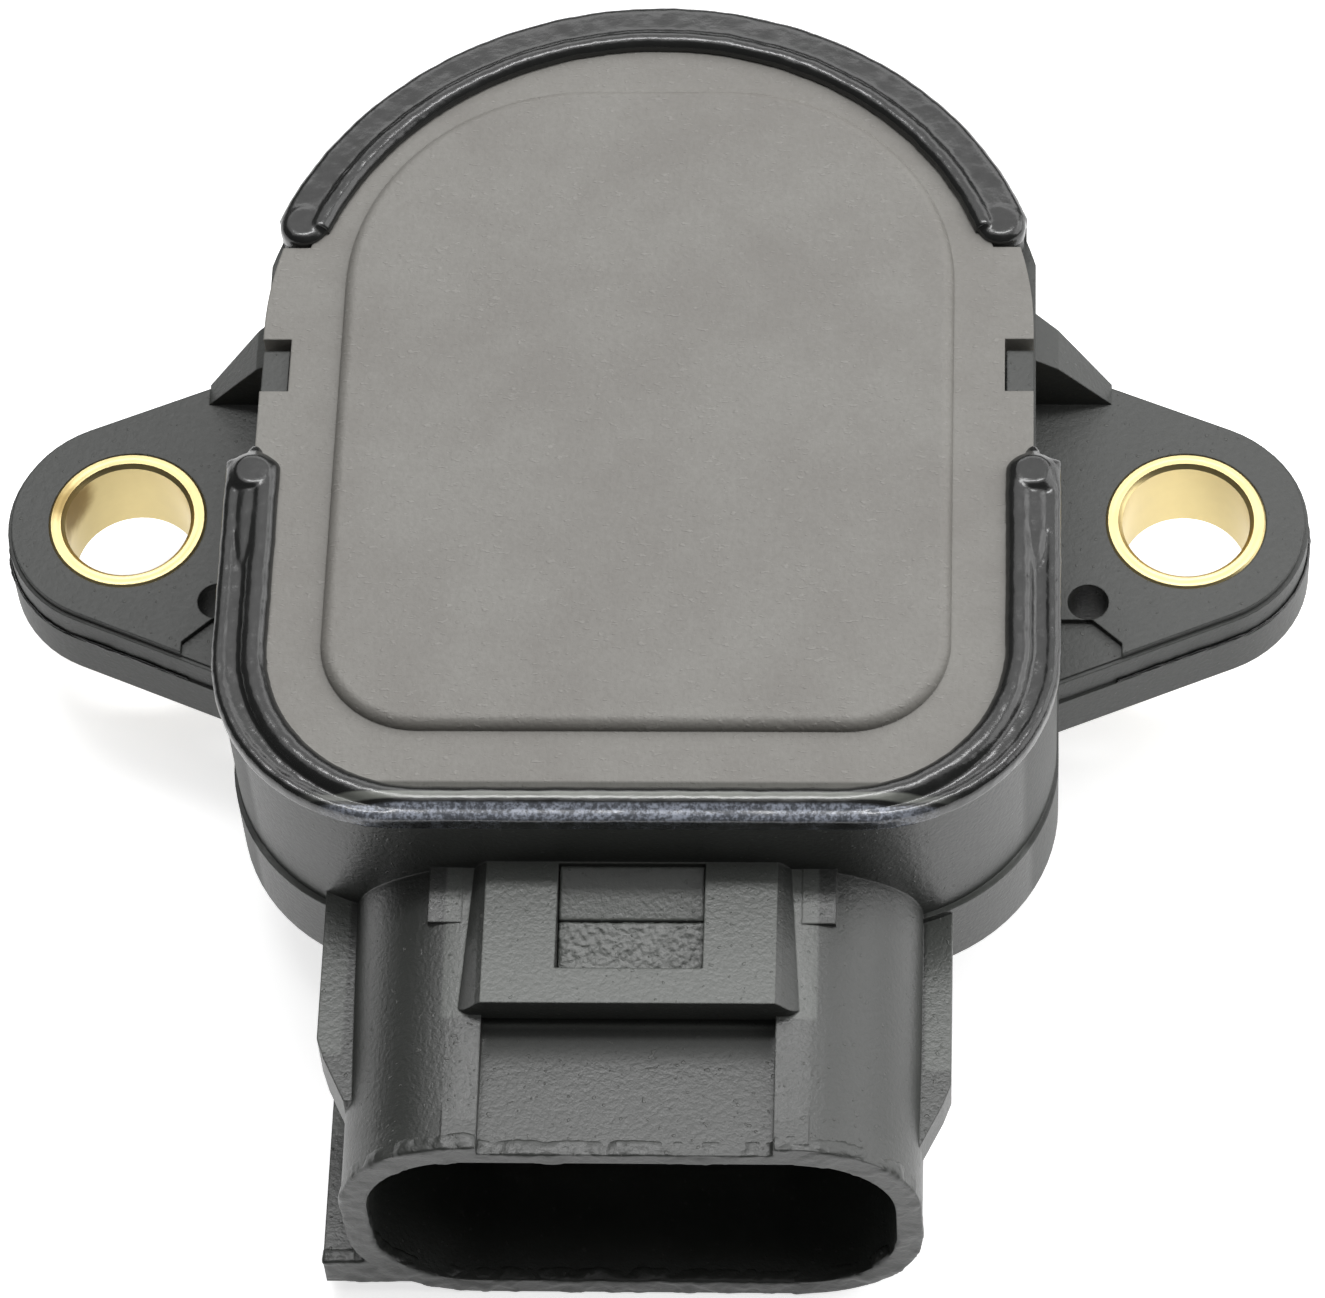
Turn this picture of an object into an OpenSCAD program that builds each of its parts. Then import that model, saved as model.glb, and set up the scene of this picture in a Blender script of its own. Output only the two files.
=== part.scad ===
// Throttle position sensor with a hot-formed rim over a grey cover.
// Origin on the rotor's axis at the mounting face, +Z towards the cover, plug socket towards -Y.

/* [Mounting ears] */
// Distance between the two screw holes
hole_spacing = 51; // [50:0.5:56]
// Thickness of an ear
ear_t = 4.5; // [3.5:0.1:5.5]
// Radius of an ear's tip about its screw hole
ear_tip_r = 6; // [5.6:0.1:7]
// Radius about the rotor's axis that an ear's sides run towards
ear_flare_r = 16; // [14:0.5:17]
// Height of the mould's parting line on ears and socket
parting_z = 2.6; // [2:0.1:3]
// Radius of a screw bush's bore
bush_bore_r = 3.05; // [2.6:0.05:3.2]
// Wall of a screw bush
bush_wall = 0.79; // [0.6:0.01:1.1]
// Height by which a bush stands above its ear
bush_proud = 0.06; // [0:0.01:0.3]
// Radius of the small drain hole in each ear
drain_r = 0.98; // [0.6:0.02:1.2]
// Depth of the recess between the drain hole and the ear's front edge
drain_recess = 0.3; // [0.1:0.05:0.6]
// Height of a gusset above the ear at the wall
gusset_rise = 3.9; // [2:0.1:6]

/* [Body] */
// Half width of the body beside the side tabs
side_half = 18.3; // [17.8:0.1:18.8]
// Radius of the round rear wall
rear_r = 18.95; // [18.7:0.05:19.5]
// Distance of the rear wall's centre behind the rotor's axis
rear_cy = 4.6; // [4:0.1:5.5]
// Half width of the front part of the body
front_half = 19.4; // [19.2:0.1:20]
// Distance from the rotor's axis to the front wall
front_reach = 22.25; // [21.9:0.05:23]
// Corner radius of the front wall
front_corner_r = 8.9; // [8:0.1:9.5]
// Distance in front of the rotor's axis at which the front rim ends
rim_end = 2.8; // [2:0.1:4]
// Angle above the X axis of the rear rim's round ends
rear_rim_angle = 19.5; // [16:0.1:24]
// Height of the ledge that the cover rests on
seat_z = 12.2; // [11.8:0.1:12.6]
// Thickness of the floor
floor_t = 2; // [1.8:0.1:2.4]
// Wall of the body at its sides
wall_t = 2.3; // [2:0.1:2.6]
// Wall between the inner space and the front face
front_wall_t = 2.8; // [2.6:0.1:3.4]
// Wall between the inner space and the round rear face
rear_wall_t = 3.2; // [2.8:0.1:3.6]

/* [Cover] */
// Thickness of the cover plate
cover_t = 1.8; // [1.4:0.1:2.4]
// Overlap of the rim on the cover
rim_grip = 0.6; // [0.4:0.05:0.6]
// Setback of the cover's rear shoulders from the wall
shoulder_in = 0.75; // [0.3:0.05:1]
// Half width of the raised pad
pad_half = 14.45; // [13:0.05:15]
// Reach of the pad in front of the rotor's axis
pad_front = 17.5; // [16:0.1:18]
// Reach of the pad behind the rotor's axis
pad_rear = 18.4; // [17:0.1:19]
// Height of the pad above the cover plate
pad_h = 0.55; // [0.3:0.05:0.8]
// Radius of the pad's front corners
pad_front_r = 4.7; // [3:0.1:6]
// Radius of the pad's rear corners
pad_rear_r = 11.2; // [9:0.1:12]
// Depth of the notch in each side of the cover
notch_depth = 1.35; // [0.8:0.05:1.6]
// Front edge of the notch behind the rotor's axis
notch_y = 1.1; // [0.5:0.1:2]
// Length of the notch
notch_len = 2.95; // [2:0.05:4]

/* [Rim] */
// Distance of the front rim's bead from the side walls
bead_path = 1.82; // [1.6:0.02:2]
// Distance of the front rim's bead from the front wall
bead_front_path = 1.03; // [0.9:0.01:1.2]
// Radius of the front rim's bead
bead_r = 0.65; // [0.55:0.05:0.8]
// Radius of the thin ridge along the front rim's outer edge
ridge_r = 0.26; // [0.2:0.02:0.3]
// Height of the front rim's valley above the cover plate
valley_rise = 0.12; // [0.05:0.01:0.2]
// Height of the front rim as far as its outer edge stands out from the wall
collar_h = 0.8; // [0.5:0.1:1.2]
// Setback of the front wall under the rim
wall_in = 0.1; // [0:0.02:0.2]
// Width of the rear rim
rear_rim_w = 2.55; // [2.2:0.05:2.8]
// Radius of the bead along the rear rim's inner edge
rear_bead_r = 0.5; // [0.4:0.02:0.6]

/* [Plug socket] */
// Distance from the rotor's axis to the mouth
mouth_reach = 36; // [34:0.1:38]
// Width of the shell
shell_w = 26.4; // [25.6:0.1:27]
// Height of the shell's flat top above the mounting face
shell_top = 8.6; // [8.4:0.05:8.8]
// Height of the shell
shell_h = 14.5; // [14:0.1:15]
// Corner radius of the shell
shell_corner_r = 5.8; // [5.2:0.1:6.4]
// Wall of the shell
shell_wall = 1.15; // [1:0.05:1.3]
// Depth of the socket from its mouth
socket_depth = 13.5; // [12:0.1:13.6]
// Slope of the shell's top, which rises from the mouth to the front wall
shell_slope = 4.6; // [2:0.2:6]
// Half width of the latch channel
channel_half = 6.65; // [6:0.05:7]
// Depth of the latch channel in the shell's flat top
channel_depth = 0.6; // [0.3:0.05:0.7]
// Height of the latch bridge above the shell's flat top
bridge_rise = 1.6; // [1.4:0.05:1.8]
// Length of the latch bridge from the front wall
bridge_len = 7.2; // [6.5:0.1:8]
// Half width of the latch bridge's flat top
bridge_half = 6.65; // [6:0.05:7]
// Spread of the bridge's sloped sides
bridge_spread = 1.3; // [0.8:0.05:1.4]
// Half width of the latch window
window_half = 3.35; // [2.5:0.05:4.5]
// Length of bridge in front of the window
window_lip = 1.8; // [1.2:0.05:2.4]
// Depth of the step in the floor below the window
window_step = 0.12; // [0.05:0.01:0.2]
// Reach of the side wings beyond the shell
wing_out = 1.3; // [0.8:0.05:1.6]
// Thickness of the right wing
wing_t = 1.9; // [1.2:0.1:2.4]
// Length of the right wing from the front wall
wing_len = 9; // [6:0.1:10]
// Height by which the left wing's top lies above the right one's
left_wing_rise = 1.3; // [0:0.1:1.6]
// Length by which the left wing is shorter
left_wing_short = 1.5; // [0:0.1:3]
// Width of the keying rib at the shell's lower left
key_w = 1.35; // [0.8:0.05:1.6]
// Height of the keying rib
key_h = 2; // [1.4:0.1:2.6]

/* [Terminals] */
// Spacing of the four terminals
pin_pitch = 5; // [4.4:0.1:5.2]
// Width of a terminal's blade
pin_w = 2.2; // [1.6:0.1:2.4]
// Thickness of a terminal
pin_t = 0.8; // [0.6:0.02:0.8]
// Distance of a blade's tip behind the mouth
pin_setback = 3.5; // [2:0.1:5]
// Width of a terminal's tail where it passes the board
tail_w = 1.2; // [1:0.05:1.4]
// Distance of the tails behind the front wall's inner face
tail_room = 2.4; // [2.2:0.1:2.8]

/* [Rotor and drive] */
// Radius of the rotor's hub
hub_r = 5; // [4.6:0.05:5.2]
// Running clearance of the hub on the radius
hub_gap = 0.05; // [0.02:0.01:0.1]
// Wall of the bearing sleeve
sleeve_wall = 1; // [0.8:0.05:1.2]
// Radius of the shaft socket in the rotor
shaft_r = 3.05; // [2.8:0.05:3.2]
// Depth of the shaft socket
shaft_depth = 7; // [6:0.1:7.6]
// Width of the two drive slots beside the shaft socket
blade_w = 1.8; // [1.2:0.1:2]
// Radius of the rotor's disc
disc_r = 11; // [10.6:0.1:11.4]
// Thickness of the rotor's disc
disc_t = 1.5; // [1.2:0.1:1.6]
// Radius of the pilot under the mounting face
pilot_r = 10.5; // [9.5:0.1:12]
// Height of the pilot
pilot_h = 3.6; // [3.4:0.1:4]
// Width of the relief in the mounting face round the pilot
relief_w = 0.9; // [0.8:0.05:1.2]
// Radius of the flange seal's section
flange_seal_r = 0.9; // [0.8:0.02:1]
// Radius of the return spring's wire
wire_r = 0.35; // [0.25:0.01:0.4]
// Turns of the return spring
spring_turns = 3; // [2:1:3]

/* [Track board] */
// Thickness of the ceramic board
board_t = 1; // [0.8:0.05:1.2]
// Clearance of the board to each side wall
board_side_gap = 4; // [3.6:0.1:4.6]
// Reach of the board behind the rotor's axis
board_rear = 7.85; // [7.4:0.05:8.2]
// Thickness of a printed track
track_t = 0.1; // [0.05:0.01:0.12]
// Mean radius of the resistor track
resistor_r = 9.4; // [9:0.1:9.6]
// Mean radius of the collector track
collector_r = 6.6; // [6.4:0.05:6.8]
// Mean radius of the idle track
idle_r = 8; // [7.9:0.05:8.1]
// Width of a printed track
track_w = 1; // [0.6:0.05:1]

/* [Hidden] */
$fn = 96;
black = [0.13, 0.135, 0.14];
grey = [0.43, 0.42, 0.4];
brass = [0.85, 0.68, 0.3];
tin = [0.75, 0.75, 0.73];
rubber = [0.08, 0.08, 0.08];
eps = 0.01;
bite = 0.5;
far = 60;

hole_x = hole_spacing / 2;
bush_r = bush_bore_r + bush_wall;
bush_len = ear_t + bush_proud;
ear_step = 0.14;
ear_lip = 0.4;
drain_x = front_half + 1.4;
drain_y = -4.6;
gusset_front = 6.7;
gusset_tip = side_half + 3.7;

cover_top = seat_z + cover_t;
cover_gap = 0.05;
seal_w = 0.8;
seal_h = 1;
cover_rear_r = rear_r - rear_rim_w + rim_grip;
ridge_path = ridge_r + 0.06;
ridge_z = cover_top + 0.02;
bead_z = cover_top - 0.08;
valley_z = cover_top + valley_rise;
bead_corner_r = front_corner_r - 0.7;
rim_cap_at = (bead_path + bead_r) / 2;
rim_cap_r = rim_cap_at - 0.09;
wall_corner_r = front_corner_r + 0.4;
wall_parting_z = ear_t - 0.05;
cover_inset = bead_path + bead_r - rim_grip;
cover_front_inset = bead_front_path + bead_r - rim_grip;
rear_wall_z = cover_top - 0.05;
rear_bead_at = rear_r - rear_rim_w + rear_bead_r;
rear_bead_z = cover_top + 0.05;
rim_trim = 0.2;
rim_end_at = rear_r - rear_rim_w / 2;
rim_end_r = rear_rim_w / 2 - 0.16;
rim_end_y = rear_cy + rim_end_at * sin(rear_rim_angle) - rim_end_r;
tab_drop = 0.4;
tab_gap = 0.08;

shell_half = shell_w / 2;
shell_low = shell_top - shell_h;
front_y = -front_reach;
mouth_y = -mouth_reach;
channel_z = shell_top - channel_depth;
bridge_top = shell_top + bridge_rise;
bridge_y = front_y - bridge_len;
bridge_t = bridge_rise - 0.1;
slope_y = mouth_y + 1.5;
pin_z = 1.2;
pin_y = mouth_y + pin_setback;
tail_y = front_y + front_wall_t + tail_room;

hub_hole_r = hub_r + hub_gap;
sleeve_r = hub_hole_r + sleeve_wall;
sleeve_low = 1.3 - pilot_h;
relief_d = 0.4;
washer_t = 0.3;
washer_z = floor_t + hub_gap;
shoulder_r = sleeve_r;
shoulder_z = washer_z + washer_t + hub_gap;
disc_z = 6.2;
disc_top = disc_z + disc_t;
rotor_top = disc_top + 1.2;
pivot_r = 2.2;
pivot_ring_r = pivot_r + 1.6;
board_gap = 0.8;
board_z = 9.9;
board_w = 2 * (side_half - wall_t - board_side_gap);
board_front = front_y + front_wall_t + board_gap;
board_long = board_rear - board_front;
board_mid = (board_rear + board_front) / 2;
board_bore_r = pivot_r + 2.2;
post_w = 2;
stake_r = 0.55;
stake_head_r = 1;
stake_head_h = 0.4;
wiper_from = 190;
wiper_sweep = 60;
wiper_mid_r = 8.1;
wiper_w = 5.6;
board_top = board_z + board_t;
track_z = board_z - track_t;
wiper_t = 0.25;
wiper_gap = 0.1;
spring_r = shoulder_r + 0.7 + wire_r;
spring_z = floor_t + wire_r + 0.1;
spring_pitch = (disc_z - spring_z - wire_r - 0.35) / (spring_turns + 0.25);

// Flat outline of both ears, with an inset for the steps in their edge
module ear_plan(inset = 0) {
    lean = asin((ear_flare_r - ear_tip_r) / hole_x);
    root = ear_flare_r - inset;
    tip = ear_tip_r - inset;
    for (s = [-1, 1]) mirror([s < 0 ? 1 : 0, 0]) {
        translate([hole_x, 0]) circle(r = tip);
        polygon([
            [0, -root / cos(lean)],
            [hole_x + tip * sin(lean), -tip * cos(lean)],
            [hole_x + tip * sin(lean), tip * cos(lean)],
            [0, root / cos(lean)]
        ]);
    }
}

// Plate with round front corners, as wide as 2 * half, from y_low to y_high
module front_plan(half, y_low, y_high, corner) {
    for (s = [-1, 1]) translate([s * (half - corner), y_low + corner]) circle(r = corner);
    translate([corner - half, y_low]) square([2 * (half - corner), y_high - y_low]);
    translate([-half, y_low + corner]) square([2 * half, y_high - y_low - corner]);
}

// Round rear part, cut to the body's half width; grow widens its shoulders rearwards
module rear_plan(half, radius, grow = 0) {
    intersection() {
        translate([0, rear_cy]) circle(r = radius);
        translate([-half, -rear_r]) square([2 * half, 3 * rear_r]);
    }
    translate([-half, rear_cy - front_reach / 2]) square([2 * half, front_reach / 2 + grow]);
}

// Area in front of the rear rim's two ends
module rear_opening() {
    polygon([
        [0, rear_cy],
        [far * cos(rear_rim_angle), rear_cy + far * sin(rear_rim_angle)],
        [far, -far],
        [-far, -far],
        [-far * cos(rear_rim_angle), rear_cy + far * sin(rear_rim_angle)]
    ]);
}

// Outer wall with both rims, before the inner space is taken out. Under the rim the front wall
// stands a little further in, and it steps out again at the mould's parting line.
module walls() {
    difference() {
        linear_extrude(rear_wall_z) rear_plan(side_half, rear_r);
        translate([0, 0, seat_z]) linear_extrude(far) rear_opening();
    }
    linear_extrude(wall_parting_z) front_plan(front_half, front_y, -rim_end, front_corner_r);
    linear_extrude(cover_top - 0.05)
        front_plan(front_half - wall_in, front_y + wall_in, -rim_end, wall_corner_r);
    translate([0, 0, valley_z - collar_h]) linear_extrude(collar_h) difference() {
        front_plan(front_half, front_y, -rim_end - 0.1, front_corner_r);
        front_plan(front_half - bead_path + 0.1, front_y + bead_front_path - 0.1, far, bead_corner_r);
    }
    u_bead(front_half - bead_path, front_y + bead_front_path, bead_corner_r, bead_r, bead_z);
    u_bead(front_half - ridge_path, front_y + ridge_path, front_corner_r - ridge_path, ridge_r, ridge_z);
    for (s = [-1, 1])
        translate([s * (front_half - rim_cap_at), -rim_end - rim_cap_r + 0.25, ridge_z - 0.6]) {
        cylinder(r = rim_cap_r, h = 0.86);
        translate([0, 0, 0.86]) cylinder(r1 = rim_cap_r, r2 = rim_cap_r - 0.4, h = 0.34);
    }
    rear_rim();
}

// Outline of the inner space; grow widens it for the seal's rebate
module cavity_plan(grow = 0) {
    half = side_half - wall_t + grow;
    rear_plan(half, rear_r - rear_wall_t + grow, grow);
    front_plan(half, front_y + front_wall_t - grow, 0, front_corner_r - front_wall_t + grow);
}

// The cover reaches the body's sides between the rims and goes under the beads elsewhere
module cover_plan(gap = 0) {
    half = front_half - cover_inset - gap;
    rear_plan(half, cover_rear_r - gap);
    front_plan(half, front_y + cover_front_inset + gap, 0, bead_corner_r);
    intersection() {
        rear_plan(side_half - 0.1, rear_r - shoulder_in);
        translate([-far / 2, -rim_end + gap]) square([far, rim_end_y + rim_end - 2 * gap]);
    }
}

// Round bead along the front rim's U at height z, with ball ends
module u_bead(half, y_low, corner, radius, z) {
    y_end = -rim_end - radius;
    y_bend = y_low + corner;
    for (s = [0, 1]) mirror([s, 0, 0]) {
        translate([half, y_bend, z]) rotate([-90, 0, 0]) cylinder(r = radius, h = y_end - y_bend);
        translate([half, y_end, z]) sphere(r = radius);
        translate([half - corner, y_bend, z]) rotate([0, 0, -90])
            rotate_extrude(angle = 90) translate([corner, 0]) circle(r = radius);
    }
    translate([corner - half, y_low, z]) rotate([0, 90, 0]) cylinder(r = radius, h = 2 * (half - corner));
}

// Sweeps a section round the rear wall's centre, along the rear rim
module rear_sweep() {
    from = rear_rim_angle + rim_trim;
    translate([0, rear_cy, 0]) rotate([0, 0, from]) rotate_extrude(angle = 180 - 2 * from) children();
}

// Rear rim: a flat band on the wall, a thin bead on the cover's edge and a round end at each side
module rear_rim() {
    rear_sweep() translate([rear_bead_at, rear_bead_z]) circle(r = rear_bead_r);
    rear_sweep() polygon([
        [rear_bead_at + 0.25, seat_z - bite],
        [rear_r - 0.1, seat_z - bite],
        [rear_r - 0.1, cover_top + 0.14],
        [rear_r - 0.28, cover_top + 0.28],
        [rear_bead_at + 0.5, cover_top + 0.35],
        [rear_bead_at + 0.25, cover_top + 0.35]
    ]);
    end_angle = rear_rim_angle + 2 * rim_trim;
    end_h = bite + cover_t + 0.14;
    for (s = [0, 1]) mirror([s, 0, 0])
        translate([rim_end_at * cos(end_angle), rear_cy + rim_end_at * sin(end_angle), seat_z - bite]) {
            cylinder(r = rim_end_r, h = end_h);
            translate([0, 0, end_h]) cylinder(r1 = rim_end_r, r2 = rim_end_r - 0.3, h = 0.24);
        }
}

// Solid that both sides of a gusset share: a wedge from the wall down to the ear
module gusset() {
    intersection() {
        translate([0, gusset_front, 0]) rotate([90, 0, 0]) mirror([0, 0, 1]) linear_extrude(far / 2)
            polygon([
                [side_half - 1, ear_t - 1],
                [gusset_tip, ear_t - 1],
                [gusset_tip, ear_t],
                [side_half + 1.1, ear_t + gusset_rise * 0.78],
                [side_half - 1, ear_t + gusset_rise * 1.15]
            ]);
        linear_extrude(far) ear_plan(ear_step);
    }
}

// Corner of an ear's top that is lowered between the drain hole and the front edge
module recess_plan() {
    for (s = [0, 1]) mirror([s, 0]) translate([drain_x, drain_y]) polygon([
        [-2, -drain_r],
        [0.2, -drain_r],
        [1.6, -drain_r - 1.3],
        [1.6, -far / 10],
        [-2, -far / 10]
    ]);
}

module ears() {
    difference() {
        union() {
            linear_extrude(parting_z) ear_plan();
            translate([0, 0, parting_z - eps])
                linear_extrude(ear_t - ear_lip - parting_z + 2 * eps) ear_plan(ear_step);
            translate([0, 0, ear_t - ear_lip]) linear_extrude(ear_lip) ear_plan(2.4 * ear_step);
        }
        translate([0, 0, ear_t - drain_recess]) linear_extrude(1) recess_plan();
    }
    for (s = [0, 1]) mirror([s, 0, 0]) gusset();
}

// Upright rounded rectangle of the shell's section, drawn in X and Z
module shell_plan(inset = 0) {
    half = shell_half - inset;
    low = shell_low + inset;
    high = shell_top - inset - (inset > 0 ? channel_depth * 0.4 : 0);
    corner = shell_corner_r - inset;
    for (x = [-1, 1], z = [low + corner, high - corner])
        translate([x * (half - corner), z]) circle(r = corner);
    translate([corner - half, low]) square([2 * (half - corner), high - low]);
    translate([-half, low + corner]) square([2 * half, high - low - 2 * corner]);
}

// Extrudes a section drawn in X and Z along Y, from y_low for a length
module along_y(y_low, length) {
    translate([0, y_low + length, 0]) rotate([90, 0, 0]) linear_extrude(length) children();
}

// Tips what is drawn on the shell's level top so that it follows the slope up to the front wall
module sloped() {
    translate([0, slope_y, shell_top]) rotate([shell_slope, 0, 0])
        translate([0, -slope_y, -shell_top]) children();
}

// Outer body of the plug socket: level at the mouth, with a top that rises towards the wall
module shell() {
    along_y(mouth_y, mouth_reach - front_reach + 1.6) shell_plan();
    sloped() along_y(mouth_y + 0.6, mouth_reach - front_reach + 0.6) intersection() {
        shell_plan();
        translate([0.06 - shell_half, 0]) square([2 * shell_half - 0.12, shell_top + 1]);
    }
}

module latch_bridge() {
    intersection() {
        bridge_bar();
        translate([0, 0, shell_low]) linear_extrude(far) bridge_outline();
    }
}

// Plan of the latch bridge, with its two front corners rounded
module bridge_outline() {
    half = bridge_half + bridge_spread;
    corner = 0.9;
    for (s = [-1, 1]) translate([s * (half - corner), bridge_y + corner]) circle(r = corner, $fn = 32);
    translate([corner - half, bridge_y]) square([2 * (half - corner), far / 2]);
    translate([-half - 1, bridge_y + corner]) square([2 * half + 2, far / 2]);
}

module bridge_bar() {
    along_y(bridge_y - 1, bridge_len + 2) polygon([
        [-bridge_half - bridge_spread, shell_top - 1],
        [bridge_half + bridge_spread, shell_top - 1],
        [bridge_half + bridge_spread, shell_top + 0.15],
        [bridge_half + 0.25, bridge_top - 0.2],
        [bridge_half, bridge_top],
        [-bridge_half, bridge_top],
        [-bridge_half - 0.25, bridge_top - 0.2],
        [-bridge_half - bridge_spread, shell_top + 0.15]
    ]);
}

// Small flats at the shell's top, beside the bridge and at the mouth
module shell_flats() {
    flat_x = bridge_half + bridge_spread - 0.2;
    for (s = [0, 1]) mirror([s, 0, 0]) {
        sloped() translate([flat_x, front_y - 2.6, shell_top - 1]) cube([1.55, 3.4, 1.02]);
        translate([channel_half, mouth_y + 0.3, shell_top - 0.6]) cube([1.6, 1.9, 0.6]);
    }
}

// Side wing at the parting line, with a tapered end
module wing(length, height) {
    wing_x = shell_half + wing_out;
    translate([0, 0, parting_z - wing_t / 2 + 0.5]) linear_extrude(height) polygon([
        [shell_half - 1, front_y + 3],
        [wing_x, front_y + 3],
        [wing_x, front_y - length + 1],
        [wing_x - 0.35, front_y - length],
        [shell_half - 0.1, front_y - length - 2.2],
        [shell_half - 1, front_y - length - 2.2]
    ]);
}

module wings() {
    wing(wing_len, wing_t);
    mirror([1, 0, 0]) wing(wing_len - left_wing_short, wing_t + left_wing_rise);
}

module key_rib() {
    along_y(mouth_y, mouth_reach - front_reach + 1)
        translate([-shell_half - key_w, shell_low + 0.95]) square([shell_corner_r, key_h]);
}

module side_tabs() {
    for (s = [0, 1]) mirror([s, 0, 0])
        translate([side_half - 0.1 - notch_depth + tab_gap, notch_y + tab_gap, seat_z - bite])
            cube([notch_depth - tab_gap, notch_len - 6 * tab_gap, cover_t - tab_drop + bite]);
}

module pilot() {
    translate([0, 0, -pilot_h]) cylinder(r = pilot_r, h = pilot_h + eps);
}

// Ring groove of the flange seal in the pilot's side, under the mounting face
module seal_groove() {
    translate([0, 0, -0.3 - 2.1 * flange_seal_r]) rotate_extrude()
        translate([pilot_r - 1.2 * flange_seal_r, 0]) square([far / 10, 2.1 * flange_seal_r]);
}

// Shallow ring recess in the mounting face that gives the flange seal room
module pilot_relief() {
    translate([0, 0, -eps]) difference() {
        cylinder(r = pilot_r + relief_w, h = relief_d + eps);
        translate([0, 0, -eps]) cylinder(r = pilot_r, h = far);
    }
}

function pin_x(i) = (i - 1.5) * pin_pitch;

// Bent terminal: blade in the socket, run in the floor, tail up through the board
module terminal(i, gap = 0) {
    translate([pin_x(i), 0, 0]) {
        translate([-pin_w / 2, pin_y, pin_z - pin_t / 2]) cube([pin_w, tail_y - pin_y, pin_t]);
        translate([-pin_w / 2, tail_y - pin_t, pin_z - pin_t / 2])
            cube([pin_w, pin_t, board_z - 1.2 - pin_z + pin_t / 2]);
        translate([-tail_w / 2 - gap, tail_y - pin_t - gap, board_z - 1.2 - eps])
            cube([tail_w + 2 * gap, pin_t + 2 * gap, board_t + 2 + eps]);
    }
}

// Squares near the board's corners, for the posts below it and the pads above it
module board_corners() {
    for (x = [-1, 1], y = [-1, 1])
        translate([x * (board_w - post_w) / 2, board_mid + y * (board_long - post_w) / 2])
            square([post_w, post_w], center = true);
}

module housing() {
    color(black) difference() {
        union() {
            difference() {
                walls();
                translate([0, 0, seat_z]) linear_extrude(cover_t) cover_plan();
            }
            ears();
            shell();
            latch_bridge();
            shell_flats();
            wings();
            key_rib();
            side_tabs();
            pilot();
        }
        difference() {
            translate([0, 0, floor_t]) linear_extrude(seat_z - floor_t + eps) cavity_plan();
            translate([0, 0, floor_t - eps]) linear_extrude(board_z - floor_t + eps) board_corners();
        }
        translate([0, 0, seat_z - seal_h]) linear_extrude(seal_h + eps) cavity_plan(seal_w);
        along_y(mouth_y - eps, socket_depth + eps) shell_plan(shell_wall);
        along_y(mouth_y - eps, mouth_reach - front_reach + eps)
            translate([-channel_half, channel_z])
                square([2 * channel_half, bridge_top - bridge_t - channel_z]);
        translate([-channel_half, mouth_y - eps, channel_z])
            cube([2 * channel_half, bridge_y - mouth_y + eps, 2 * bridge_rise]);
        translate([-window_half, bridge_y + window_lip, channel_z])
            cube([2 * window_half, bridge_len - window_lip + eps, bridge_rise + 2]);
        translate([-window_half, bridge_y + window_lip, channel_z - window_step])
            cube([2 * window_half, (bridge_len - window_lip) / 2, 1]);
        for (s = [-1, 1]) {
            translate([s * hole_x, 0, -eps]) cylinder(r = bush_r, h = ear_t + 1);
            translate([s * drain_x, drain_y, -eps]) cylinder(r = drain_r, h = ear_t + 1, $fn = 48);
        }
        translate([0, 0, sleeve_low]) cylinder(r = sleeve_r, h = far / 4);
        translate([0, 0, -pilot_h - eps]) cylinder(r = sleeve_r + 1.2, h = pilot_h + sleeve_low - 0.4);
        translate([0, 0, -pilot_h - eps]) cylinder(r = hub_hole_r + 0.3, h = far / 4);
        seal_groove();
        pilot_relief();
        for (i = [0:3]) terminal(i);
    }
}

module cover() {
    inset = pad_h;
    color(grey) difference() {
        union() {
            translate([0, 0, seat_z]) linear_extrude(cover_t) cover_plan(cover_gap);
            translate([0, 0, cover_top - eps]) linear_extrude(pad_h + eps) pad_plan(inset);
            pad_edge(inset);
            translate([0, 0, board_top]) linear_extrude(seat_z - board_top + eps) cover_ribs();
        }
        for (s = [0, 1]) mirror([s, 0, 0])
            translate([side_half - 0.1 - notch_depth, notch_y, seat_z - 1]) cube([far, notch_len, far]);
        translate([0, 0, rotor_top - 1]) cylinder(r = pivot_r + hub_gap, h = seat_z + 0.6 - rotor_top + 1);
    }
}

// Pads under the cover that hold the board down, and the ring round the rotor's pivot
module cover_ribs() {
    board_corners();
    circle(r = pivot_ring_r);
}

module pad_plan(inset) {
    half = pad_half - inset;
    low = inset - pad_front;
    high = pad_rear - inset;
    rear = pad_rear_r - inset;
    front = pad_front_r - inset;
    for (s = [-1, 1]) {
        translate([s * (half - front), low + front]) circle(r = front);
        translate([s * (half - rear), high - rear]) circle(r = rear);
    }
    translate([-half, low + front]) square([2 * half, high - rear - low - front]);
    translate([front - half, low]) square([2 * (half - front), high - rear - low]);
    translate([rear - half, low + front]) square([2 * (half - rear), high - low - front]);
}

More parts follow.
